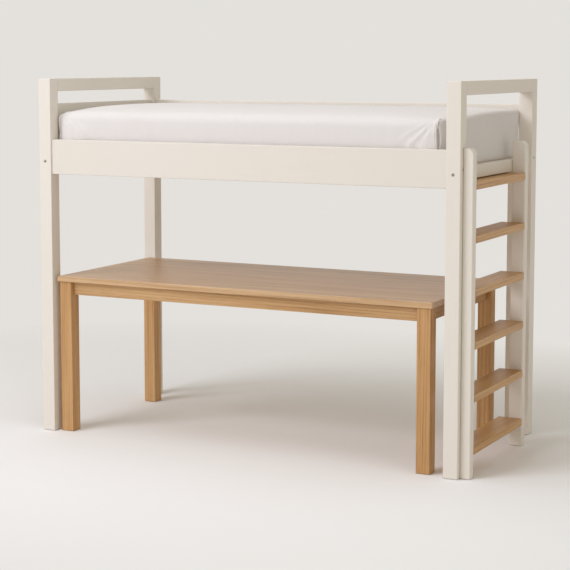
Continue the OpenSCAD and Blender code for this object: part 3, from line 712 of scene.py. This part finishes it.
outward = [vertex.normal.copy() for vertex in sheet.data.vertices]
for vertex, normal in zip(sheet.data.vertices, outward):
    place = vertex.co + normal * cloth_relief(vertex.co, normal)
    if place.x > 0:
        pressed = eased(place.x, SHEET_HALF_LENGTH - END_PRESS_REACH, SHEET_HALF_LENGTH)
        place.x += END_PRESS * pressed
    place.x = max(-FRAME_HALF_LENGTH, min(FRAME_HALF_LENGTH, place.x))
    place.y = max(-FRAME_HALF_WIDTH, min(FRAME_HALF_WIDTH, place.y))
    vertex.co = place
sheet.data.shade_smooth()
sheet_surface = BVHTree.FromPolygons([vertex.co for vertex in sheet.data.vertices],
                                     [polygon.vertices for polygon in sheet.data.polygons])

COTTON = shade(229, 226, 225)
COTTON_WARM = shade(224, 217, 214)
COTTON_ROUGHNESS = 0.78
COTTON_GLOSS = 0.25
COTTON_SHEEN = 0.15
COTTON_RELIEF = 0.0006
COTTON_CLOUDS = {"fineness": 2.5, "detail": 3.0}
COTTON_SLUBS = {"fineness": 260.0, "detail": 3.0}
COTTON_CREASES = {"fineness": 16.0, "detail": 4.0, "roughness": 0.55, "distortion": 0.6}
COTTON_RIBS = {"fineness": 110.0, "detail": 2.0}
SLUB_DRAW = (0.2, 0.2, 1)
CREASE_DRAW = (1, 1, 0.45)
RIB_DRAW = (1, 1, 0.12)
THREAD_PITCH = 0.0011


def woven_cotton():
    """Plain-woven cotton: fine crossed threads, soft creases from folding and a faint sheen."""
    cotton = Recipe(bpy.data.materials.new("woven_cotton"))
    where = cotton.place()
    split = cotton.add("SeparateXYZ", {}, {0: where})
    warp, weft, upright = ((split[axis] * (2 * math.pi / THREAD_PITCH)).sine() for axis in "XYZ")
    weave = warp * weft + upright
    cloud = cotton.noise(where, **COTTON_CLOUDS)
    slub = cotton.noise(cotton.place(scale=SLUB_DRAW), **COTTON_SLUBS)
    crease = cotton.noise(cotton.place(scale=CREASE_DRAW), **COTTON_CREASES)
    rib = cotton.noise(cotton.place(scale=RIB_DRAW), **COTTON_RIBS)
    relief = crease * 5 + rib * 2 + slub * 0.5 + weave * 0.12
    return cotton.finish(base_color=cotton.mix(cloud * 0.6 + rib * 0.4, COTTON, COTTON_WARM),
                         roughness=slub * 0.12 + COTTON_ROUGHNESS,
                         normal=cotton.bump(relief, COTTON_RELIEF, strength=0.6),
                         specular_ior_level=COTTON_GLOSS, sheen_weight=COTTON_SHEEN)


cotton_finish = woven_cotton()
sheet_middle = (sheet_low + sheet_high) / 2
onto_slats = Matrix.Translation((sheet_middle.x, sheet_middle.y, sheet_low.z))
sheet.data.transform(onto_slats)
sheet.data.materials.append(cotton_finish)
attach(sheet, "bed")
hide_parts("mattress")


# ---------- Corner seams of the fitted sheet ----------
# A seam runs down each corner, where the sheet's cut sides are sewn together: their edges are
# rolled up into one narrow tube of the same cotton, with a row of stitches beside it.

SEAM_RADIUS = 0.0042
SEAM_SIDES = 10
SEAM_SINK = 0.0008
SEAM_BOTTOM = 0.03
SEAM_STEP = 0.006
SEAM_ROUND_STEPS = 7
SEAM_OVER_TOP = 0.03
SEAM_OVER_STEPS = 5
STITCH_PITCH = 0.0042
STITCH_LENGTH = 0.003
STITCH_RADIUS = 0.0004
STITCH_SIDES = 6
STITCH_OFFSET = 0.0058
START_ASIDE = 0.1
START_AWAY = 0.2


def seam_path(side_x, side_y):
    """Points of a corner seam on the sheet, from under the rail's edge up and over the top edge."""
    rays = []
    height = SEAM_BOTTOM
    while height < SIDE_TOP - TOP_ROUNDING:
        reach = seam_reach(side_x, side_y, height)
        start = Vector((side_x * reach, side_y * (SHEET_HALF_WIDTH + START_ASIDE), height))
        rays.append((start, Vector((0, -side_y, 0))))
        height += SEAM_STEP
    reach = seam_reach(side_x, side_y, SIDE_TOP)
    centre = Vector((side_x * reach, side_y * (SHEET_HALF_WIDTH - TOP_ROUNDING), height))
    for step in range(SEAM_ROUND_STEPS + 1):
        angle = math.radians(90 * step / SEAM_ROUND_STEPS)
        inward = Vector((0, -side_y * math.cos(angle), -math.sin(angle)))
        rays.append((centre - inward * START_AWAY, inward))
    over = Vector((-side_x, -side_y, 0)).normalized()
    above = centre + Vector((0, 0, START_AWAY))
    for step in range(1, SEAM_OVER_STEPS + 1):
        start = above + over * SEAM_OVER_TOP * step / SEAM_OVER_STEPS
        rays.append((start, Vector((0, 0, -1))))
    points = []
    for start, direction in rays:
        place, normal, _, _ = sheet_surface.ray_cast(start, direction)
        if place is not None:
            points.append(place - normal * SEAM_SINK)
    return points


def seam_tree():
    """Geometry Nodes: a rolled seam along a curve, with a row of stitches beside it."""
    tree = bpy.data.node_groups.new("rolled_seam", "GeometryNodeTree")
    tree.interface.new_socket("Path", in_out="INPUT", socket_type="NodeSocketGeometry")
    for name in ("Seam Radius", "Stitch Pitch", "Stitch Length", "Stitch Radius", "Stitch Offset"):
        tree.interface.new_socket(name, in_out="INPUT", socket_type="NodeSocketFloat")
    tree.interface.new_socket("Cloth", in_out="INPUT", socket_type="NodeSocketMaterial")
    tree.interface.new_socket("Seam", in_out="OUTPUT", socket_type="NodeSocketGeometry")

    def add(kind, sockets=None, **settings):
        made = tree.nodes.new(kind)
        for key, value in settings.items():
            setattr(made, key, value)
        for key, value in (sockets or {}).items():
            if isinstance(value, bpy.types.NodeSocket):
                tree.links.new(value, made.inputs[key])
            else:
                made.inputs[key].default_value = value
        return made.outputs

    given = add("NodeGroupInput")
    ring = add("GeometryNodeCurvePrimitiveCircle",
               {"Resolution": SEAM_SIDES, "Radius": given["Seam Radius"]})
    roll = add("GeometryNodeCurveToMesh",
               {"Curve": given["Path"], "Profile Curve": ring["Curve"], "Fill Caps": True})
    row = add("GeometryNodeCurveToPoints",
              {"Curve": given["Path"], "Length": given["Stitch Pitch"]}, mode="LENGTH")
    aside = add("ShaderNodeVectorMath",
                {0: row["Normal"], "Scale": given["Stitch Offset"]}, operation="SCALE")
    moved = add("GeometryNodeSetPosition",
                {"Geometry": row["Points"], "Offset": aside["Vector"]})
    thread = add("GeometryNodeMeshCylinder",
                 {"Vertices": STITCH_SIDES, "Radius": given["Stitch Radius"],
                  "Depth": given["Stitch Length"]})
    turned = add("FunctionNodeAlignRotationToVector", {"Vector": row["Tangent"]}, axis="Z")
    stitches = add("GeometryNodeInstanceOnPoints",
                   {"Points": moved["Geometry"], "Instance": thread["Mesh"],
                    "Rotation": turned["Rotation"]})
    both = tree.nodes.new("GeometryNodeJoinGeometry")
    for part in (stitches["Instances"], roll["Mesh"]):
        tree.links.new(part, both.inputs["Geometry"])
    real = add("GeometryNodeRealizeInstances", {"Geometry": both.outputs["Geometry"]})
    dressed = add("GeometryNodeSetMaterial",
                  {"Geometry": real["Geometry"], "Material": given["Cloth"]})
    add("NodeGroupOutput", {"Seam": dressed["Geometry"]})
    return tree


def corner_seams():
    """The sheet's four corner seams as one mesh."""
    curve = bpy.data.curves.new("seam_paths", "CURVE")
    curve.dimensions = "3D"
    for side_x in (-1, 1):
        for side_y in (-1, 1):
            points = seam_path(side_x, side_y)
            spline = curve.splines.new("POLY")
            spline.points.add(len(points) - 1)
            for point, place in zip(spline.points, points):
                point.co = (*place, 1)
    holder = bpy.data.objects.new("seam_paths", curve)
    bpy.context.scene.collection.objects.link(holder)
    tree = seam_tree()
    modifier = holder.modifiers.new("seams", "NODES")
    modifier.node_group = tree
    given = {"Seam Radius": SEAM_RADIUS, "Stitch Pitch": STITCH_PITCH,
             "Stitch Length": STITCH_LENGTH, "Stitch Radius": STITCH_RADIUS,
             "Stitch Offset": STITCH_OFFSET, "Cloth": cotton_finish}
    for item in tree.interface.items_tree:
        if item.in_out == "INPUT" and item.name in given:
            modifier[item.identifier] = given[item.name]
    bpy.context.view_layer.update()
    sewn = holder.evaluated_get(bpy.context.evaluated_depsgraph_get())
    mesh = bpy.data.meshes.new_from_object(sewn)
    bpy.data.objects.remove(holder)
    mesh.name = "corner_seams"
    return mesh


seams = bpy.data.objects.new("corner_seams", corner_seams())
bpy.context.scene.collection.objects.link(seams)
seams.data.transform(onto_slats)
seams.data.shade_smooth()
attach(seams, "bed")


# ---------- Studio ----------
# A pale floor that fades into a backdrop of one colour all round, a large soft light from the
# upper left front, weaker ones above and at the right, and a long-lens camera at the right front.

FLOOR_COLOUR = shade(248, 247, 247)
PAPER_ROUGHNESS = 0.9
PAPER_GLOSS = 0.1
BACKDROP_COLOUR = shade(228, 225, 220)
FLOOR_RADIUS = 60.0
FLOOR_SIDES = 96
BED_HALF_LENGTH = 1.1
BED_HALF_DEPTH = 0.5
HAZE_START = 0.9
HAZE_REACH = 1.6


def studio_floor():
    """A round floor, much wider than any view."""
    shape = bmesh.new()
    bmesh.ops.create_circle(shape, cap_ends=True, segments=FLOOR_SIDES, radius=FLOOR_RADIUS)
    mesh = bpy.data.meshes.new("studio_floor")
    shape.to_mesh(mesh)
    shape.free()
    made = bpy.data.objects.new("studio_floor", mesh)
    bpy.context.scene.collection.objects.link(made)
    return made


def in_view(recipe):
    """1 for what the camera sees, also in metal and through glass, and 0 for what lights."""
    ray = recipe.add("LightPath")
    return (ray["Is Camera Ray"] + ray["Is Glossy Ray"] + ray["Is Transmission Ray"]).clipped()


def studio_paper():
    """White paper that fades into the backdrop's colour away from the bed."""
    paper = Recipe(bpy.data.materials.new("studio_paper"))
    where = paper.add("SeparateXYZ", {}, {0: paper.place()})
    beyond_end = (abs(where["X"]) - BED_HALF_LENGTH).at_least(0.0)
    beyond_side = (abs(where["Y"]) - BED_HALF_DEPTH).at_least(0.0)
    away = (beyond_end * beyond_end + beyond_side * beyond_side) ** 0.5
    haze = ((away - HAZE_START) / HAZE_REACH).clipped() * in_view(paper)
    glow = paper.add("Emission", {}, {"Color": (*BACKDROP_COLOUR, 1), "Strength": 1.0})["Emission"]
    paper.finish(base_color=FLOOR_COLOUR, roughness=PAPER_ROUGHNESS,
                 specular_ior_level=PAPER_GLOSS)
    lit = Wire(paper, paper.tree.nodes["Principled BSDF"].outputs["BSDF"])
    blend = paper.add("MixShader", {}, {0: haze, 1: lit, 2: glow})["Shader"]
    paper.plug(paper.tree.nodes["Material Output"].inputs["Surface"], blend)
    return paper.owner


floor = studio_floor()
floor.data.materials.append(studio_paper())


def soft_light(name, place, aim, size, watts, colour):
    lamp = bpy.data.lights.new(name, "AREA")
    lamp.shape = "RECTANGLE"
    lamp.size, lamp.size_y = size
    lamp.energy = watts
    lamp.color = colour
    holder = bpy.data.objects.new(name, lamp)
    holder.location = place
    holder.rotation_euler = (Vector(aim) - Vector(place)).to_track_quat("-Z", "Y").to_euler()
    bpy.context.scene.collection.objects.link(holder)


BED_MIDDLE = (0, 0, 0.8)
FLOOR_MIDDLE = (0, 0, 0)

soft_light("key_light", place=(-4.16, -7.15, 5.74), aim=BED_MIDDLE, size=(5.2, 3.9),
           watts=402, colour=(0.98, 1.0, 1.10))
soft_light("top_light", place=(-0.3, -0.9, 5.4), aim=FLOOR_MIDDLE, size=(4.2, 3.4),
           watts=70, colour=(0.97, 1.0, 1.05))
soft_light("right_fill", place=(6.1, -2.6, 2.4), aim=BED_MIDDLE, size=(3.0, 3.0),
           watts=27, colour=(1.0, 0.96, 0.86))

AIR_COLOUR = (1.0, 0.95, 0.82)
AIR_LIGHT = 0.45

air = Recipe(bpy.data.worlds.new("studio_air"))
daylight = air.tree.nodes["Background"]
air.plug(daylight.inputs["Color"], (*AIR_COLOUR, 1))
air.plug(daylight.inputs["Strength"], AIR_LIGHT)
backdrop = air.add("Background", {}, {"Color": (*BACKDROP_COLOUR, 1), "Strength": 1.0})
either = air.add("MixShader", {}, {0: in_view(air), 1: Wire(air, daylight.outputs["Background"]),
                                   2: backdrop["Background"]})
air.plug(air.tree.nodes["World Output"].inputs["Surface"], either["Shader"])
bpy.context.scene.world = air.owner

CAMERA_YAW = 0.468
CAMERA_PITCH = 0.103
CAMERA_PLACE = (3.4575, -6.906, 1.788)
CAMERA_LENS = 102.657
CAMERA_SENSOR = 36
CAMERA_SHIFT = -0.10

camera_data = bpy.data.cameras.new("camera")
camera_data.sensor_width = CAMERA_SENSOR
camera_data.lens = CAMERA_LENS
camera_data.shift_y = CAMERA_SHIFT
camera = bpy.data.objects.new("camera", camera_data)
camera.location = CAMERA_PLACE
camera.rotation_euler = (math.radians(90) - CAMERA_PITCH, 0, CAMERA_YAW)
bpy.context.scene.collection.objects.link(camera)
bpy.context.scene.camera = camera
bpy.context.scene.view_settings.view_transform = "Standard"
